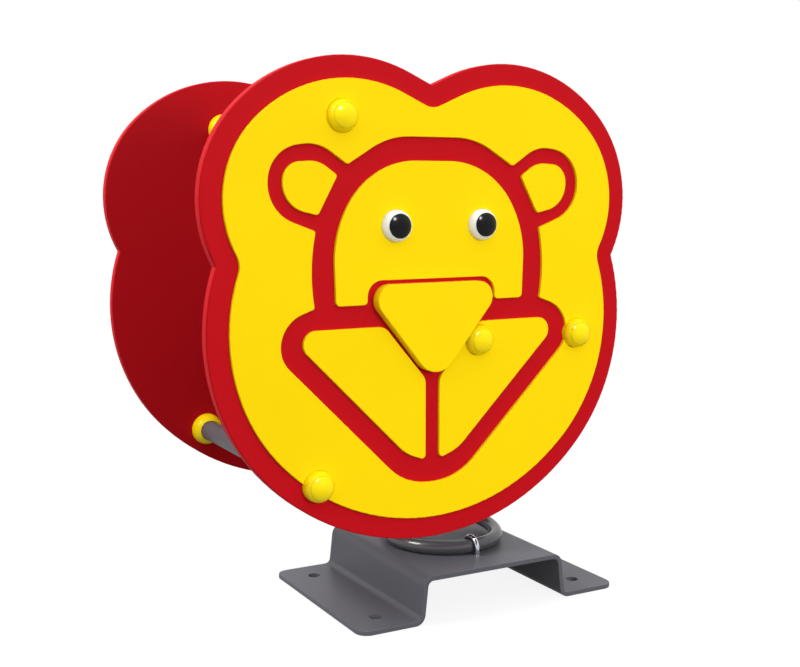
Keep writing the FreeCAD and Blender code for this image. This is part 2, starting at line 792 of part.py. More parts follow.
def clamp_leg_places(angles):
    """Where the legs of the U-bolts stand, as flat points round the spring axis."""
    origin = FreeCAD.Vector(0, 0, 0)
    half_span = float(size.u_bolt_span) / 2
    radii = (float(coil_radius) - half_span, float(coil_radius) + half_span)
    return [polar(origin, radius, angle) for angle in angles for radius in radii]


def small_nut():
    block = hexagon("nut_block", size.small_nut_flats, size.small_nut_height)
    bore = cylinder("nut_bore", size.u_bolt_rod + size.thread_gap * 2, size.small_nut_height)
    return cut("small_nut", block, bore)


def make_clamps(template, washer, nut):
    """Lower clamps hang their legs through the platform, upper clamps stand theirs up through the plate."""
    upside_down = FreeCAD.Rotation(ALONG_X, 180)
    below = size.base_height - size.plate_thickness - size.small_washer_thickness
    sets = (
        ("lower", LOWER_CLAMP_ANGLES, size.base_height + arch_above_plate, FreeCAD.Rotation(), below,
         below - size.small_nut_height),
        ("upper", UPPER_CLAMP_ANGLES, plate_bottom - arch_above_plate, upside_down, plate_top,
         plate_top + size.small_washer_thickness),
    )
    for name, angles, height, flip, washer_height, nut_height in sets:
        bows = []
        for angle in angles:
            place = polar(FreeCAD.Vector(0, 0, float(height)), float(coil_radius), angle)
            bows.append(FreeCAD.Placement(place, FreeCAD.Rotation(UP, angle).multiply(flip)))
        legs = clamp_leg_places(angles)
        group(f"{name}_u_bolts", template, bows)
        group(f"{name}_u_bolt_washers", washer, [at(leg.x, leg.y, washer_height) for leg in legs])
        group(f"{name}_u_bolt_nuts", nut, [at(leg.x, leg.y, nut_height) for leg in legs])


# ---------------------------------------------------------------- base plate and top plate


def hat_outline():
    """Section of the base plate: two flanges on the ground, two splayed risers and the platform.

    The upper skin runs over the platform and the lower skin runs back under it.
    """
    thickness = float(size.plate_thickness)
    height = float(size.base_height)
    end = float(size.base_length) / 2
    top = float(size.platform_length) / 2
    foot = top + float(size.riser_splay)
    inside = float(size.bend_radius)
    outside = inside + thickness
    climb = flat_point(top - foot, height - thickness)
    climb.normalize()
    shift = flat_point(-climb.y, climb.x) * thickness

    def under(up):
        """Across position of the riser's inner face at a height."""
        return foot + shift.x + (up - thickness - shift.y) * climb.x / climb.y

    half = [
        (top, height, outside), (foot, thickness, inside), (end, thickness, 0), (end, 0, 0),
        (under(0), 0, outside), (under(height - thickness), height - thickness, inside),
    ]
    return rounded_outline(both_halves(half))


def make_base():
    body = new_body("base_plate")
    profile = add_sketch(body, "hat_section", "XZ_Plane", hat_outline())
    add_pad(body, profile, size.base_width, symmetric=True)
    end, side = float(size.base_length) / 2, float(size.base_width) / 2

    corner = float(size.base_corner_radius)

    def flange_corner(edge):
        middle = edge.CenterOfMass
        return abs(abs(middle.x) - end) < 0.01 and abs(abs(middle.y) - side) < 0.01

    def on_outline(place):
        return abs(abs(place.x) - end) < 0.01 or abs(abs(place.y) - side) < 0.01

    def rim(edge):
        """Edges that run round the plate, and not its bend lines or the seams of its corners."""
        first, last = edge.valueAt(edge.FirstParameter), edge.valueAt(edge.LastParameter)
        middle = edge.valueAt((edge.FirstParameter + edge.LastParameter) / 2)
        at_corner = abs(middle.x) > end - corner and abs(middle.y) > side - corner
        upright = math.hypot(last.x - first.x, last.y - first.y) < 0.01
        return on_outline(first) and on_outline(last) and (on_outline(middle) or at_corner) and not upright

    round_edges(body, size.base_corner_radius, flange_corner)
    round_edges(body, size.base_edge_radius, rim)
    anchors = add_sketch(body, "anchor_holes", "XY_Plane")
    for sign_x in (-1, 1):
        for sign_y in (-1, 1):
            across = size.anchor_spacing_long * sign_x / 2
            add_circle(anchors, size.anchor_hole_diameter, across, size.anchor_spacing_wide * sign_y / 2)
    add_pocket(body, anchors)
    return keep(body, "base_plate")


def cut_leg_holes(body, angles, setback=0):
    """Holes for the U-bolts of the clamps at these angles; setback: the body's own shift along X."""
    legs = add_sketch(body, "leg_holes", "XY_Plane")
    for leg in clamp_leg_places(angles):
        add_circle(legs, size.u_bolt_hole_diameter, Measure(leg.x) - setback, Measure(leg.y))
    add_pocket(body, legs)


def make_top_plate():
    body = new_body("top_plate")
    outline = rectangle(size.top_plate_length, size.top_plate_width, size.top_plate_corner)
    add_pad(body, add_sketch(body, "outline", "XY_Plane", outline), size.plate_thickness)
    move(body, x=size.seat_setback, z=plate_bottom)
    return keep(body, "top_plate")


def make_gussets():
    """Upright plates welded on the top plate, with half-round seats for the two tubes."""
    body = new_body("gusset")
    length, height = float(size.top_plate_length) / 2, float(tube_radius + size.cradle_height)
    corners = [(-length, 0), (length, 0), (length, height), (-length, height)]
    outline = polygon([flat_point(*corner) for corner in corners])
    add_pad(body, add_sketch(body, "outline", "XZ_Plane", outline), size.gusset_thickness, symmetric=True)
    seats = add_sketch(body, "tube_seats", "XZ_Plane")
    for sign in (-1, 1):
        across = size.seat_tube_spacing * sign / 2
        add_circle(seats, size.tube_diameter + size.thread_gap * 2, across, tube_radius + size.cradle_height)
    add_pocket(body, seats)
    half = size.gusset_spacing / 2
    group("seat_gussets", body, [at(size.seat_setback, half * side, plate_top) for side in SIDE_NAMES])


# ---------------------------------------------------------------- seat


def strap_body():
    """Strap that passes under a tube and ends in two ears against the seat board."""
    inner = float(tube_radius + size.fit_gap)
    outer = inner + float(size.strap_thickness)
    top = float(tube_radius)
    ear_bottom = top - float(size.strap_thickness)
    ear = float(size.strap_ear)
    centre = flat_point(0, 0)
    geometry = [arc(centre, inner, 180, 360), arc(centre, outer, 180, 360)]
    for side in (-1, 1):
        path = [(inner, 0), (inner, top), (ear, top), (ear, ear_bottom), (outer, ear_bottom), (outer, 0)]
        points = [flat_point(across * side, up) for across, up in path]
        geometry += [line(a, b) for a, b in zip(points, points[1:])]
    body = new_body("seat_strap")
    add_pad(body, add_sketch(body, "bent_strip", "XZ_Plane", geometry), size.strap_width, symmetric=True)
    holes = add_sketch(body, "bolt_holes", "XY_Plane")
    for side in (-1, 1):
        add_circle(holes, size.seat_bolt_rod + size.fit_gap * 2, size.strap_bolt_offset * side, Measure(0))
    add_pocket(body, holes)
    return body


def seat_bolt():
    """Dome-headed bolt: the head rests on the seat, the rod reaches past the nut below."""
    stack = size.seat_thickness + size.strap_thickness + size.small_washer_thickness + size.small_nut_height
    length = stack + size.u_bolt_tail
    height, radius = float(size.seat_bolt_head), float(size.seat_bolt_head_diameter) / 2
    crown = (radius ** 2 + height ** 2) / (2 * height)
    spread = math.degrees(math.asin(radius / crown))
    cap = arc(flat_point(0, height - crown), crown, 90 - spread, 90)
    foot = flat_point(0, 0)
    head = turned_body("seat_bolt_dome", [cap, line(cap.EndPoint, foot), line(foot, cap.StartPoint)])
    rod = cylinder("seat_bolt_rod", size.seat_bolt_rod, length, z=-length)
    return fused("seat_bolt", head, rod)


def make_seat(washer, nut):
    bolt_spots = []
    for tube in (-1, 1):
        for across in (-1, 1):
            for ear in (-1, 1):
                x = size.seat_setback + size.seat_tube_spacing * tube / 2 + size.strap_bolt_offset * ear
                bolt_spots.append((x, size.strap_spacing * across / 2))
    body = new_body("seat_board")
    seat_width = size.board_gap - size.collar_diameter - size.seat_side_gap * 2
    outline = rectangle(size.seat_length, seat_width, size.seat_corner)
    add_pad(body, add_sketch(body, "outline", "XY_Plane", outline), size.seat_thickness)
    round_edges(body, size.seat_edge_radius, lies_at("z", [size.seat_thickness]))
    holes = add_sketch(body, "bolt_holes", "XY_Plane")
    for x, y in bolt_spots:
        add_circle(holes, size.seat_bolt_rod + size.fit_gap * 2, x - size.seat_setback, y)
    add_pocket(body, holes)
    move(body, x=size.seat_setback, z=seat_bottom)
    keep(body, "seat_board")
    strap = strap_body()
    straps = []
    for name in ("front_seat", "rear_seat"):
        x, z = tube_places[name]
        straps += [at(x, size.strap_spacing * side / 2, z) for side in SIDE_NAMES]
    washer_height = seat_bottom - size.strap_thickness - size.small_washer_thickness
    group("seat_straps", strap, straps)
    group("seat_bolts", seat_bolt(), [at(x, y, seat_bottom + size.seat_thickness) for x, y in bolt_spots])
    group("seat_bolt_washers", washer, [at(x, y, washer_height) for x, y in bolt_spots])
    group("seat_bolt_nuts", nut, [at(x, y, washer_height - size.small_nut_height) for x, y in bolt_spots])


# ---------------------------------------------------------------- build, check and write


def build():
    for side in SIDE_NAMES:
        make_board(side)
        make_face(side)
    make_caps_and_fasteners()
    make_tubes()
    make_spring()
    washer_bore = size.u_bolt_rod + size.fit_gap * 2
    washer = ring_body("small_washer", size.small_washer_diameter, washer_bore, size.small_washer_thickness)
    nut = small_nut()
    make_clamps(u_bolt(), washer, nut)
    cut_leg_holes(make_base(), LOWER_CLAMP_ANGLES)
    cut_leg_holes(make_top_plate(), UPPER_CLAMP_ANGLES, size.seat_setback)
    make_gussets()
    make_seat(washer, nut)
    doc.recompute()


def check():
    """Stop on anything that failed, and on a pocket that removed nothing."""
    for thing in doc.Objects:
        if "Invalid" in thing.State or "Error" in thing.State:
            raise RuntimeError(f"{thing.Label} failed: {thing.State}")
        if thing.isDerivedFrom("PartDesign::Pocket"):
            if thing.Shape.Volume >= thing.BaseFeature.Shape.Volume - 1e-3:
                raise RuntimeError(f"{thing.Label} in {thing.getParentGeoFeatureGroup().Label} cut nothing")
    for label, thing in nodes.items():
        if thing.Shape.isNull() or not thing.Shape.isValid() or not thing.Shape.Solids:
            raise RuntimeError(f"{label} has no valid solid")


def write():
    os.makedirs("parts", exist_ok=True)
    for label, thing in nodes.items():
        thing.Shape.exportStep(f"parts/{label}.step")
        solids, litres = len(thing.Shape.Solids), thing.Shape.Volume / 1e6
        print(f"{label}: {solids} solid(s), {litres:.4f} litres, {thing.Shape.BoundBox}")


build()
check()
write()
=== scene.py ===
"""Finishes, domed caps, eyes, collars, coil spring and studio for the face-panel spring rocker."""

import json
import math

import bpy
from bpy.props import FloatProperty, FloatVectorProperty, IntProperty, PointerProperty
from bpy.types import NodeSocket, Operator, Panel, PropertyGroup
from mathutils import Matrix, Vector


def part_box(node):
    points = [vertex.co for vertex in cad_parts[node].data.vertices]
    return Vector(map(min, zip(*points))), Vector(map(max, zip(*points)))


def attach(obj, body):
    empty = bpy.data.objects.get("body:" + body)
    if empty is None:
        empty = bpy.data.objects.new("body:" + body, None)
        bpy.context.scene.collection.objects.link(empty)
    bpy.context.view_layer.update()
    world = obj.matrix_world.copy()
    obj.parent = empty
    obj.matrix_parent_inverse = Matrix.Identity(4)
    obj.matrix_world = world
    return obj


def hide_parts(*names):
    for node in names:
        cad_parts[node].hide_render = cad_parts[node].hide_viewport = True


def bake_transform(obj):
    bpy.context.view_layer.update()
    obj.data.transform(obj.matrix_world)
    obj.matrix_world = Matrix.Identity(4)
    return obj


bl_info = {
    "name": "Spring rocker",
    "version": (1, 0, 0),
    "blender": (4, 5, 0),
    "location": "View3D > Sidebar > Rocker",
    "description": "Dresses a packed spring rocker: plastics, powder coat, caps, eyes, spring and light",
    "category": "Object",
}

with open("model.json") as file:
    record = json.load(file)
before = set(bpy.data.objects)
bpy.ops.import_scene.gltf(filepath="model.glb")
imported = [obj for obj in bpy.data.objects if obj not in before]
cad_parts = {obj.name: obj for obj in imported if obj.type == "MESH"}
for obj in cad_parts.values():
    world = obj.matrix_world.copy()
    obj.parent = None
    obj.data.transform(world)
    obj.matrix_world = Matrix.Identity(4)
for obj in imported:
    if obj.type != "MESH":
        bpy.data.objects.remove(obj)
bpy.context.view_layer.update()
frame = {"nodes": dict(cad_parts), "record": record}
nodes = frame["nodes"]


def paint(red, green, blue):
    """Scene-linear colour of a paint given on the usual 0 to 255 scale."""
    return tuple(((shade / 255 + 0.055) / 1.055) ** 2.4 for shade in (red, green, blue))


def colour(label, description, default):
    return FloatVectorProperty(
        name=label, description=description, default=default, size=3, min=0, max=1, subtype="COLOR"
    )


def length(label, description, default):
    return FloatProperty(name=label, description=description, default=default, min=0, unit="LENGTH")


def point(label, description, default):
    return FloatVectorProperty(name=label, description=description, default=default, size=3, unit="LENGTH")


def angle(label, description, degrees):
    return FloatProperty(name=label, description=description, default=math.radians(degrees), unit="ROTATION")


def amount(label, description, default, unit="NONE"):
    return FloatProperty(name=label, description=description, default=default, min=0, unit=unit)


# ---------------------------------------------------------------- what a user may change


class RockerColours(PropertyGroup):
    """Paints and plastics."""

    board_red: colour("Board red", "Red of the side boards and the seat", paint(189, 14, 25))
    panel_yellow: colour("Panel yellow", "Yellow of the face panels", paint(250, 215, 4))
    cap_yellow: colour("Cap yellow", "Glossy yellow of the caps and collars", paint(250, 222, 6))
    eye_white: colour("Eye white", "Moulded white of the eyes", paint(243, 249, 255))
    pupil_black: colour("Pupil black", "Moulded black of the pupils", paint(14, 14, 15))
    base_grey: colour("Base grey", "Powder coat of the base and the top plate", paint(88, 89, 95))
    spring_grey: colour("Spring grey", "Powder coat of the coil spring", paint(70, 70, 73))
    tube_grey: colour("Tube grey", "Powder coat of the cross tubes", paint(87, 83, 88))


class RockerSizes(PropertyGroup):
    """Sizes of what is modelled here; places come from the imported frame."""

    dome_rise: length("Dome rise", "Top of a cap above the yellow panel", 0.0204)
    seam_diameter: length("Seam diameter", "Seam between a cap's ring and its lid", 0.037)
    seam_depth: length("Seam depth", "Depth of that seam", 0.0006)
    seam_gap: length("Seam gap", "Lid clear of the ring's lip", 0.0003)
    lid_wall: length("Lid wall", "Wall of a lid and of a ring's lip", 0.002)
    lid_skirt: length("Lid skirt", "How far a lid reaches into its ring", 0.005)
    ring_floor: length("Ring floor", "Floor of a cap's ring on the board", 0.003)
    bolt_hole_radius: length("Bolt hole", "Radius of a cap ring's hole for the tube bolt", 0.0055)
    screw_hole_radius: length("Screw hole", "Radius of an eye ring's hole for its screw", 0.0027)
    collar_edge: length("Collar edge", "Softened edges of a collar", 0.0012)
    collar_clearance: length("Collar clearance", "Collar's bore clear of the tube", 0.0002)
    bend_margin: length("Bend margin", "Ends of the spring that stay straight in their clamps", 0.025)
    bend_slack: length("Bend slack", "Middle of the spring that follows neither half's bend", 0.015)
    turned_facets: IntProperty(name="Facets", description="Facets round a turned piece", default=96, min=24)
    grain_height: length("Grain height", "Height of the moulded grain of boards and panels", 0.00012)


class RockerStudio(PropertyGroup):
    """Light and camera."""

    ambient: amount("Ambient", "Light from the horizon", 0.74)
    zenith: amount("Zenith", "Extra light from straight above", 0.62)
    mirrored: amount("Mirrored white", "How bright the backdrop and floor are in reflections", 0.35)
    bounce: amount("Floor bounce", "Share of light that the floor returns", 0.14)
    floor_glow: amount("Floor glow", "Share of the floor's white that no shadow reaches", 0.88)
    key_power: amount("Key light", "Power of the soft key light", 57, "POWER")
    upper_left_power: amount("Upper left light", "Power of the lamp at the upper left", 72, "POWER")
    glint_power: amount("Glint", "Power of the lamp seen in glossy caps", 220, "POWER")
    aim: point("Aim", "Point that every lamp faces", (-0.17, 0, 0.5))
    camera_place: point("Camera", "Place of the camera", (-1.069, -1.7943, 0.7072))
    camera_turn: angle("Camera turn", "Camera's turn from straight along Y", -28.68)
    camera_tilt: angle("Camera tilt", "Camera's tilt below the horizon", 6.93)
    lens: FloatProperty(name="Lens", description="Focal length of the camera", default=53.43, unit="CAMERA")


# ---------------------------------------------------------------- finishes


class Level:
    """A number that varies over a surface; arithmetic on it adds Math nodes."""

    def __init__(self, finish, socket):
        self.finish = finish
        self.socket = socket

    def __add__(self, other):
        return self.finish.maths("ADD", self, other)

    def __sub__(self, other):
        return self.finish.maths("SUBTRACT", self, other)

    def __rsub__(self, other):
        return self.finish.maths("SUBTRACT", other, self)

    def __mul__(self, other):
        return self.finish.maths("MULTIPLY", self, other)

    def __truediv__(self, other):
        return self.finish.maths("DIVIDE", self, other)

    def __abs__(self):
        return self.finish.maths("ABSOLUTE", self)

    __radd__ = __add__
    __rmul__ = __mul__

    def wave(self):
        return self.finish.maths("SINE", self)

    def ramp(self, start, end):
        """0 up to start and 1 from end on, with a smooth step between them."""
        values = {"Value": self, "From Min": start, "From Max": end}
        settings = {"interpolation_type": "SMOOTHSTEP"}
        return Level(self.finish, self.finish.node("ShaderNodeMapRange", settings, values).outputs["Result"])


class Finish:
    """The nodes of a material or a world: node() adds any node, and every other method is built on it."""

    def __init__(self, owner):
        owner.use_nodes = True
        self.owner = owner
        self.tree = owner.node_tree
        self.tree.nodes.clear()
        self.coordinates = self.node("ShaderNodeTexCoord")

    def node(self, kind, settings=None, values=None):
        made = self.tree.nodes.new(kind)
        for name, setting in (settings or {}).items():
            setattr(made, name, setting)
        for key, value in (values or {}).items():
            source = value.socket if isinstance(value, Level) else value
            if isinstance(source, NodeSocket):
                self.tree.links.new(source, made.inputs[key])
            else:
                made.inputs[key].default_value = source
        return made

    def maths(self, operation, *values):
        made = self.node("ShaderNodeMath", {"operation": operation}, dict(enumerate(values)))
        return Level(self, made.outputs[0])

    def axes(self, output="Object"):
        parts = self.node("ShaderNodeSeparateXYZ", values={0: self.coordinates.outputs[output]})
        return [Level(self, socket) for socket in parts.outputs]

    def noise(self, grain, detail=2, stretch=(1, 1, 1)):
        """Smooth random level; grain is the size of its features in metres."""
        scaled = {"Vector": self.coordinates.outputs["Object"], "Scale": stretch}
        place = self.node("ShaderNodeMapping", values=scaled).outputs[0]
        values = {"Vector": place, "Scale": 1 / grain, "Detail": detail}
        return Level(self, self.node("ShaderNodeTexNoise", values=values).outputs["Fac"])

    def mix(self, first, second, share):
        values = {0: share, 6: rgba(first), 7: rgba(second)}
        return self.node("ShaderNodeMix", {"data_type": "RGBA"}, values).outputs[2]

    def bump(self, height, distance, strength=1.0):
        values = {"Strength": strength, "Distance": distance, "Height": height}
        return self.node("ShaderNodeBump", values=values).outputs["Normal"]

    def surface(self, **values):
        named = {name.replace("_", " "): value for name, value in values.items()}
        shader = self.node("ShaderNodeBsdfPrincipled", values=named)
        self.node("ShaderNodeOutputMaterial", values={"Surface": shader.outputs[0]})
        return self.owner


def rgba(shade):
    return shade if isinstance(shade, NodeSocket) else (*shade, 1)


def tinted(shade, factor):
    return tuple(min(1, part * factor) for part in shade)


def sheet_plastic(name, shade, sizes):
    """Solid-coloured sheet plastic: pebbled faces, and edges cut by a router with fine lines along them."""
    finish = Finish(bpy.data.materials.new(name))
    cutter_pitch = 0.0009
    drift = finish.noise(grain=0.16, detail=3)
    pebbles = finish.noise(grain=0.0011, detail=1)
    fine = finish.noise(grain=0.0004, detail=1)
    faces = abs(finish.axes("Normal")[1]).ramp(0.6, 0.95)
    cutter = (finish.axes()[1] * (math.tau / cutter_pitch)).wave() * 0.5 + 0.5
    tone = finish.mix(tinted(shade, 0.965), tinted(shade, 1.03), drift)
    cut_tone = finish.mix(shade, tinted(shade, 0.9), cutter * 0.4)
    height = faces * (pebbles * 0.8 + fine * 0.2) + (1 - faces) * cutter * 0.3
    return finish.surface(
        Base_Color=finish.mix(cut_tone, tone, faces),
        Roughness=0.5 - faces * 0.06 + pebbles * 0.08,
        Specular_IOR_Level=0.06,
        Normal=finish.bump(height, sizes.grain_height, 0.55),
    )


def gloss_plastic(name, shade, roughness=0.16, gloss=0.14):
    """Injection-moulded gloss plastic with a faint flow and a little handling haze."""
    finish = Finish(bpy.data.materials.new(name))
    flow = finish.noise(grain=0.035, detail=2)
    haze = finish.noise(grain=0.004, detail=3)
    return finish.surface(
        Base_Color=finish.mix(tinted(shade, 0.97), tinted(shade, 1.02), flow),
        Roughness=roughness + haze * 0.07,
        Specular_IOR_Level=gloss,
        Normal=finish.bump(flow, 0.0004, 0.25),
    )


def powder_coat(name, shade, roughness=0.32, gloss=0.14, peel=0.00006):
    """Satin powder coat: orange peel, a fine speckle and slightly rubbed tone."""
    finish = Finish(bpy.data.materials.new(name))
    drift = finish.noise(grain=0.12, detail=3)
    speckle = finish.noise(grain=0.0009, detail=1).ramp(0.42, 0.62)
    orange_peel = finish.noise(grain=0.0028, detail=2)
    tone = finish.mix(tinted(shade, 0.93), tinted(shade, 1.07), drift)
    return finish.surface(
        Base_Color=finish.mix(tone, tinted(shade, 1.28), speckle * 0.3),
        Roughness=roughness + drift * 0.06 + speckle * 0.05,
        Specular_IOR_Level=gloss,
        Normal=finish.bump(orange_peel + speckle * 0.12, peel, 0.9),
    )


def plated_steel(name, shade, roughness, thread_ends):
    """Plated steel rod: threads where z is outside the given pair of heights, with painted shade in the
    thread grooves.
    """
    finish = Finish(bpy.data.materials.new(name))
    height = finish.axes()[2]
    low, high = thread_ends
    run_out, thread_pitch = 0.001, 0.00125
    threaded = 1 - height.ramp(low, low + run_out) + height.ramp(high - run_out, high)
    ridges = (height * (math.tau / thread_pitch)).wave() * 0.5 + 0.5
    smudge = finish.noise(grain=0.006, detail=3)
    return finish.surface(
        # Base colour darkens in the thread grooves, where the bump is lowest: painted shade.
        Base_Color=finish.mix(shade, tinted(shade, 0.55), threaded * (1 - ridges)),
        Roughness=roughness + smudge * 0.05 + threaded * 0.14,
        Metallic=1.0,
        Normal=finish.bump(threaded * ridges + smudge * 0.02, 0.0004, 0.8),
    )


def zinc_steel(name, shade):
    """Zinc-plated fasteners: dull bright metal with a cloudy passivated film."""
    finish = Finish(bpy.data.materials.new(name))
    cloud = finish.noise(grain=0.004, detail=3)
    scratches = finish.noise(grain=0.0009, detail=2, stretch=(1, 1, 6))
    return finish.surface(
        Base_Color=finish.mix(tinted(shade, 0.85), tinted(shade, 1.08), cloud),
        Roughness=0.27 + cloud * 0.16,
        Metallic=1.0,
        Normal=finish.bump(scratches, 0.00003, 0.5),
    )


def build_finishes(scene):
    """All finishes by the record's slot names."""
    colours, sizes = scene.rocker_colours, scene.rocker_sizes
    platform_top, plate_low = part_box("base_plate")[1].z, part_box("top_plate")[0].z
    return {
        "red_board": sheet_plastic("red sheet plastic", colours.board_red, sizes),
        "yellow_panel": sheet_plastic("yellow sheet plastic", colours.panel_yellow, sizes),
        "yellow_cap": gloss_plastic("yellow gloss plastic", colours.cap_yellow),
        "white_eye": gloss_plastic("white gloss plastic", colours.eye_white),
        "black_eye": gloss_plastic("black gloss plastic", colours.pupil_black, 0.16, 0.18),
        "grey_base": powder_coat("grey powder coat", colours.base_grey),
        "grey_spring": powder_coat("spring powder coat", colours.spring_grey, 0.1, 0.5, 0.00002),
        "grey_tube": powder_coat("tube powder coat", colours.tube_grey, 0.34, 0.1),
        "chrome_bolt": plated_steel("bright plated rod", (0.66, 0.69, 0.74), 0.1, (platform_top, plate_low)),
        "bright_steel": zinc_steel("zinc plate", (0.62, 0.63, 0.64)),
    }


def slot_of(node):
    return next(part["material_slot"] for part in frame["record"]["subparts"] if part["node"] == node)


# ---------------------------------------------------------------- modelling by operators


def alone(thing):
    """Deselects everything but this object and makes it active."""
    bpy.ops.object.select_all(action="DESELECT")
    thing.select_set(True)
    bpy.context.view_layer.objects.active = thing


def ellipse_run(major, minor, centre_height, start_radius, end_radius, steps):
    """Points (radius, height) along a dome's section, between two radii."""
    start, end = (math.acos(min(1, radius / major)) for radius in (start_radius, end_radius))
    turns = [start + (end - start) * step / steps for step in range(steps + 1)]
    return [(major * math.cos(turn), centre_height + minor * math.sin(turn)) for turn in turns]


def turned(name, profile, facets):
    """Turned piece along -Y: a circle at the first point, extruded, sized and moved along the rest."""
    (radius, height), *rest = profile
    bpy.ops.object.select_all(action="DESELECT")
    bpy.ops.mesh.primitive_circle_add(
        vertices=facets, radius=radius, fill_type="NOTHING",
        location=(0, -height, 0), rotation=(math.pi / 2, 0, 0),
    )
    piece = bpy.context.object
    piece.name = piece.data.name = name
    bpy.ops.object.transform_apply(location=True, rotation=True, scale=True)
    bpy.ops.object.mode_set(mode="EDIT")
    bpy.ops.mesh.select_all(action="SELECT")
    for next_radius, next_height in rest:
        bpy.ops.mesh.extrude_edges_move(TRANSFORM_OT_translate={"value": (0, height - next_height, 0)})
        share = next_radius / radius
        bpy.ops.transform.resize(value=(share, 1, share), center_override=(0, -next_height, 0))
        radius, height = next_radius, next_height
    bpy.ops.mesh.select_all(action="SELECT")
    bpy.ops.mesh.remove_doubles(threshold=1e-6)
    bpy.ops.mesh.select_all(action="DESELECT")
    bpy.ops.mesh.select_non_manifold()
    bpy.ops.mesh.edge_face_add()
    bpy.ops.mesh.select_all(action="SELECT")
    bpy.ops.mesh.normals_make_consistent(inside=False)
    bpy.ops.object.mode_set(mode="OBJECT")
    return piece


def copies(template, name, places, body, node):
    """One piece from a template set at each place, which stands for a CAD node."""
    made = []
    for place in places:
        copy = bpy.data.objects.new(name, template.data.copy())
        bpy.context.collection.objects.link(copy)
        copy.matrix_world = place
        made.append(copy)
    bpy.ops.object.select_all(action="DESELECT")
    for copy in made:
        copy.select_set(True)
    bpy.context.view_layer.objects.active = made[0]
    bpy.ops.object.transform_apply(location=True, rotation=True, scale=True)
    bpy.ops.object.join()
    piece = bpy.context.object
    piece.name = piece.data.name = name
    finished(piece, body, node)
    return piece


def finished(piece, body, *replaced):
    """Shades a piece, gives it the finish of the node that it stands for, and sets it on its body."""
    alone(piece)
    bpy.ops.object.shade_smooth_by_angle(angle=math.radians(32))
    dress(piece, slot_of(replaced[0]))
    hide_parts(*replaced)
    if body:
        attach(piece, body)


def dress(piece, slot):
    piece.data.materials.clear()
    piece.data.materials.append(FINISHES[slot])


def remove(*templates):
    for template in templates:
        bpy.data.objects.remove(template)


def tube_centres():
    boxes = [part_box(name) for name in ("handle_tube", "footrest_tube", "front_seat_tube", "rear_seat_tube")]
    return [(low + high) / 2 for low, high in boxes]


def on_boards(centres, side):
    """Places of caps on the outer face of one side's board."""
    board_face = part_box("rear_board")[1].y if side == "rear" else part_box("front_board")[0].y
    turn = Matrix.Rotation(math.pi, 4, "Z") if side == "rear" else Matrix.Identity(4)
    return [Matrix.Translation((centre.x, board_face, centre.z)) @ turn for centre in centres]


def ring_profile(sizes, outer, face, hole):
    """Cap ring: stands in the panel's hole, curves up to the seam, with a softened lip."""
    seam = sizes.seam_diameter / 2
    bore = seam - sizes.lid_wall
    dome = ellipse_run(outer, sizes.dome_rise, face, outer, seam + sizes.seam_depth * 0.4, 9)
    lip = dome[-1][1] - sizes.seam_depth
    return [
        (outer, 0), *dome, (seam - 0.0001, lip), (bore, lip), (bore, sizes.ring_floor),
        (hole, sizes.ring_floor), (hole, 0), (outer, 0),
    ]


def lid_profile(sizes, outer, face):
    """Cap lid: a domed shell whose edge turns down softly into the seam."""
    seam = sizes.seam_diameter / 2 - sizes.seam_gap
    wall = sizes.lid_wall
    edge = ellipse_run(outer, sizes.dome_rise, face, seam, seam, 1)[0][1]
    outside = ellipse_run(outer, sizes.dome_rise, face, 0.0003, seam - 0.0005, 22)
    inside = ellipse_run(outer - wall, sizes.dome_rise - wall, face, seam - 3 * wall, 0.0003, 12)
    return [
        *outside, (seam - 0.00015, edge - 0.0001), (seam, edge - sizes.seam_depth),
        (seam - wall, edge - sizes.seam_depth), (seam - wall, edge - sizes.lid_skirt),
        (seam - 2 * wall, edge - sizes.lid_skirt),
        *inside,
    ]


class ROCKER_OT_finishes(Operator):
    """Give every construction node its plastic, powder coat or plating"""

    bl_idname = "rocker.finishes"
    bl_label = "Finishes"

    def execute(self, context):
        FINISHES.clear()
        FINISHES.update(build_finishes(context.scene))
        for name, node in nodes.items():
            for place in node.material_slots:
                place.material = FINISHES[slot_of(name)]
        return {"FINISHED"}


class ROCKER_OT_caps(Operator):
    """Turn the two-part domed caps over the tube bolts"""

    bl_idname = "rocker.caps"
    bl_label = "Domed caps"

    def execute(self, context):
        sizes = context.scene.rocker_sizes
        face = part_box("rear_mane")[1].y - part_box("rear_board")[1].y
        low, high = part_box("handle_tube")
        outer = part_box("front_cap_rings")[1].z - (low.z + high.z) / 2
        profile = ring_profile(sizes, outer, face, sizes.bolt_hole_radius)
        ring = turned("cap_ring", profile, sizes.turned_facets)
        lid = turned("cap_lid", lid_profile(sizes, outer, face), sizes.turned_facets)
        for side in ("front", "rear"):
            places = on_boards(tube_centres(), side)
            copies(ring, f"{side}_cap_rings_turned", places, "rider", f"{side}_cap_rings")
            copies(lid, f"{side}_cap_lids_turned", places, "rider", f"{side}_cap_lids")
        remove(ring, lid)
        return {"FINISHED"}


class ROCKER_OT_eyes(Operator):
    """Turn the eyes: a white ring with a black domed pupil"""

    bl_idname = "rocker.eyes"
    bl_label = "Eyes"

    def execute(self, context):
        sizes = context.scene.rocker_sizes
        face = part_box("rear_mane")[1].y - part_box("rear_board")[1].y
        low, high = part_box("front_eye_whites")
        outer = (high.z - low.z) / 2
        profile = ring_profile(sizes, outer, face, sizes.screw_hole_radius)
        ring = turned("eye_ring", profile, sizes.turned_facets)
        pupil = turned("eye_pupil", lid_profile(sizes, outer, face), sizes.turned_facets)
        for side in ("front", "rear"):
            low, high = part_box(f"{side}_eye_whites")
            height = (low.z + high.z) / 2
            centres = [Vector((low.x + outer, 0, height)), Vector((high.x - outer, 0, height))]
            places = on_boards(centres, side)
            copies(ring, f"{side}_eye_whites_turned", places, "rider", f"{side}_eye_whites")
            copies(pupil, f"{side}_eye_pupils_turned", places, "rider", f"{side}_eye_pupils")
        remove(ring, pupil)
        return {"FINISHED"}


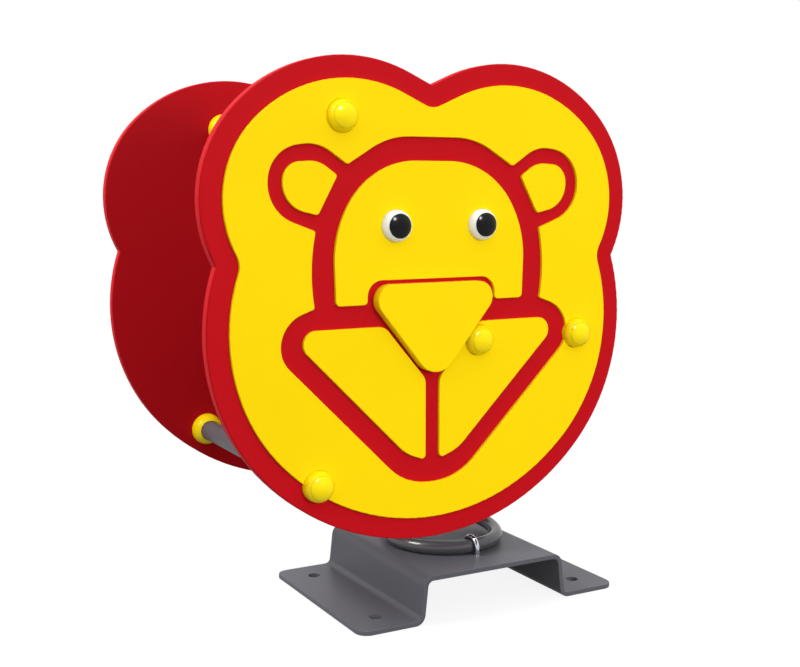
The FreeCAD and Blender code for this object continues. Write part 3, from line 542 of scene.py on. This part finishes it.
class ROCKER_OT_collars(Operator):
    """Turn the half-ball collars where the tubes meet the boards"""

    bl_idname = "rocker.collars"
    bl_label = "Half-ball collars"

    def execute(self, context):
        sizes = context.scene.rocker_sizes
        low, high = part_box("handle_collars")
        radius = (high.z - low.z) / 2
        tube_low, tube_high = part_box("handle_tube")
        bore = (tube_high.z - tube_low.z) / 2 + sizes.collar_clearance
        edge = sizes.collar_edge
        foot = [(bore, 0), (radius - edge, 0), (radius - edge * 0.3, edge * 0.3)]
        dome = ellipse_run(radius, radius, 0, math.sqrt(radius ** 2 - edge ** 2), bore + edge, 18)
        mouth = dome[-1][1]
        lip = [(bore + edge * 0.3, mouth - edge * 0.25), (bore, mouth - edge * 1.2), (bore, 0)]
        collar = turned("collar", foot + dome + lip, sizes.turned_facets)
        handle, footrest, front_seat, rear_seat = tube_centres()
        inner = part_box("rear_board")[0].y
        half_turn = Matrix.Rotation(math.pi, 4, "Z")
        groups = {
            "handle_collars": [handle],
            "footrest_collars": [footrest],
            "seat_tube_collars": [front_seat, rear_seat],
        }
        for node, centres in groups.items():
            places = []
            for centre in centres:
                places.append(Matrix.Translation((centre.x, inner, centre.z)))
                places.append(Matrix.Translation((centre.x, -inner, centre.z)) @ half_turn)
            copies(collar, f"{node}_turned", places, "rider", node)
        remove(collar)
        return {"FINISHED"}


class ROCKER_OT_spring(Operator):
    """Make the coil spring one smooth wire in two halves, cut at its middle height"""

    bl_idname = "rocker.spring"
    bl_label = "Coil spring"

    def execute(self, context):
        low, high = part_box("spring")
        middle = (low.z + high.z) / 2
        halves = []
        for name, keeps_lower in (("spring_lower_half", True), ("spring_upper_half", False)):
            half = bpy.data.objects.new(name, nodes["spring"].data.copy())
            bpy.context.collection.objects.link(half)
            alone(half)
            bpy.ops.object.mode_set(mode="EDIT")
            bpy.ops.mesh.select_all(action="SELECT")
            bpy.ops.mesh.remove_doubles(threshold=2e-6)
            bpy.ops.mesh.bisect(
                plane_co=(0, 0, middle), plane_no=(0, 0, 1), use_fill=True,
                clear_outer=keeps_lower, clear_inner=not keeps_lower,
            )
            bpy.ops.object.mode_set(mode="OBJECT")
            finished(half, None, "spring")
            halves.append(half)
        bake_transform(halves[0])
        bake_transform(halves[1])
        return {"FINISHED"}


class ROCKER_OT_stage(Operator):
    """Set the white floor, the soft lights and the camera"""

    bl_idname = "rocker.stage"
    bl_label = "Studio"

    def execute(self, context):
        studio = context.scene.rocker_studio
        self.floor(studio)
        self.surroundings(context.scene, studio)
        self.lamp(studio, "upper left", (-2.5, 0.34, 2.6), 1.3, studio.upper_left_power)
        self.lamp(studio, "key", (0.5, -3.68, 1.15), 1.0, studio.key_power).visible_glossy = False
        self.lamp(studio, "glint", (-1.3, -2.6, 3.4), 1.1, studio.glint_power).visible_diffuse = False
        self.camera(context.scene, studio)
        context.scene.view_settings.view_transform = "Standard"
        return {"FINISHED"}

    def seen(self, finish, studio):
        """1 for rays from the camera and through clear things, and less for mirror reflections."""
        path = finish.node("ShaderNodeLightPath").outputs
        camera, glossy, through = (
            Level(finish, path[name]) for name in ("Is Camera Ray", "Is Glossy Ray", "Is Transmission Ray")
        )
        return finish.maths("MINIMUM", camera + glossy * studio.mirrored + through, 1.0)

    def floor(self, studio):
        """Round floor just under the base, far wider than the view."""
        bpy.ops.object.select_all(action="DESELECT")
        bpy.ops.mesh.primitive_circle_add(vertices=96, radius=14, fill_type="NGON", location=(0, 0, -0.0001))
        floor = bpy.context.object
        floor.name = "floor"
        bpy.ops.object.transform_apply(location=True, rotation=True, scale=True)
        floor.data.materials.append(self.floor_finish(studio))

    def floor_finish(self, studio):
        """White floor that glows for the camera, so that only the object's shadow shows on it."""
        finish = Finish(bpy.data.materials.new("floor"))
        chalk = finish.mix((studio.bounce,) * 3, (0.97, 0.97, 0.97), self.seen(finish, studio))
        matt = finish.node("ShaderNodeBsdfDiffuse", values={"Color": chalk}).outputs[0]
        white = {"Color": (1, 1, 1, 1), "Strength": 1.0}
        glow = finish.node("ShaderNodeEmission", values=white).outputs[0]
        glowing = self.seen(finish, studio) * studio.floor_glow
        shown = finish.node("ShaderNodeMixShader", values={0: glowing, 1: matt, 2: glow}).outputs[0]
        finish.node("ShaderNodeOutputMaterial", values={"Surface": shown})
        return finish.owner

    def surroundings(self, scene, studio):
        """Even light, brighter from above, with a plain white backdrop for the camera and reflections."""
        scene.world = bpy.data.worlds.new("studio")
        finish = Finish(scene.world)
        upward = finish.axes("Generated")[2]
        sky = upward.ramp(0.0, 1.0) * studio.zenith + studio.ambient
        seen = self.seen(finish, studio)
        values = {"Color": (1, 1, 1, 1), "Strength": seen + (1 - seen) * sky}
        light = finish.node("ShaderNodeBackground", values=values).outputs[0]
        finish.node("ShaderNodeOutputWorld", values={"Surface": light})

    def lamp(self, studio, name, place, size, power):
        """Round soft lamp that faces the rocker."""
        light = bpy.data.lights.new(name, "AREA")
        light.shape = "DISK"
        light.size = size
        light.energy = power
        holder = bpy.data.objects.new(name, light)
        bpy.context.collection.objects.link(holder)
        holder.location = place
        holder.rotation_euler = (Vector(studio.aim) - Vector(place)).to_track_quat("-Z", "Y").to_euler()
        return holder

    def camera(self, scene, studio):
        optics = bpy.data.cameras.new("camera")
        optics.lens = studio.lens
        holder = bpy.data.objects.new("camera", optics)
        bpy.context.collection.objects.link(holder)
        holder.location = studio.camera_place
        holder.rotation_euler = (math.pi / 2 - studio.camera_tilt, 0, studio.camera_turn)
        scene.camera = holder


class ROCKER_PT_rocker(Panel):
    """Steps, colours and sizes of the rocker"""

    bl_idname = "ROCKER_PT_rocker"
    bl_label = "Spring rocker"
    bl_space_type = "VIEW_3D"
    bl_region_type = "UI"
    bl_category = "Rocker"

    def draw(self, context):
        for step in STEPS:
            self.layout.operator(step.bl_idname)
        scene = context.scene
        for group in (scene.rocker_colours, scene.rocker_sizes, scene.rocker_studio):
            box = self.layout.box()
            for name in group.bl_rna.properties.keys():
                if name not in ("name", "rna_type"):
                    box.prop(group, name)


FINISHES = {}
STEPS = (
    ROCKER_OT_finishes, ROCKER_OT_caps, ROCKER_OT_eyes, ROCKER_OT_collars, ROCKER_OT_spring, ROCKER_OT_stage,
)
CLASSES = (RockerColours, RockerSizes, RockerStudio, *STEPS, ROCKER_PT_rocker)


def register():
    for item in CLASSES:
        bpy.utils.register_class(item)
    bpy.types.Scene.rocker_colours = PointerProperty(type=RockerColours)
    bpy.types.Scene.rocker_sizes = PointerProperty(type=RockerSizes)
    bpy.types.Scene.rocker_studio = PointerProperty(type=RockerStudio)


def unregister():
    del bpy.types.Scene.rocker_studio
    del bpy.types.Scene.rocker_sizes
    del bpy.types.Scene.rocker_colours
    for item in reversed(CLASSES):
        bpy.utils.unregister_class(item)


def main():
    register()
    bpy.ops.rocker.finishes()
    bpy.ops.rocker.caps()
    bpy.ops.rocker.eyes()
    bpy.ops.rocker.collars()
    bpy.ops.rocker.spring()
    bpy.ops.rocker.stage()


if __name__ == "__main__":
    main()
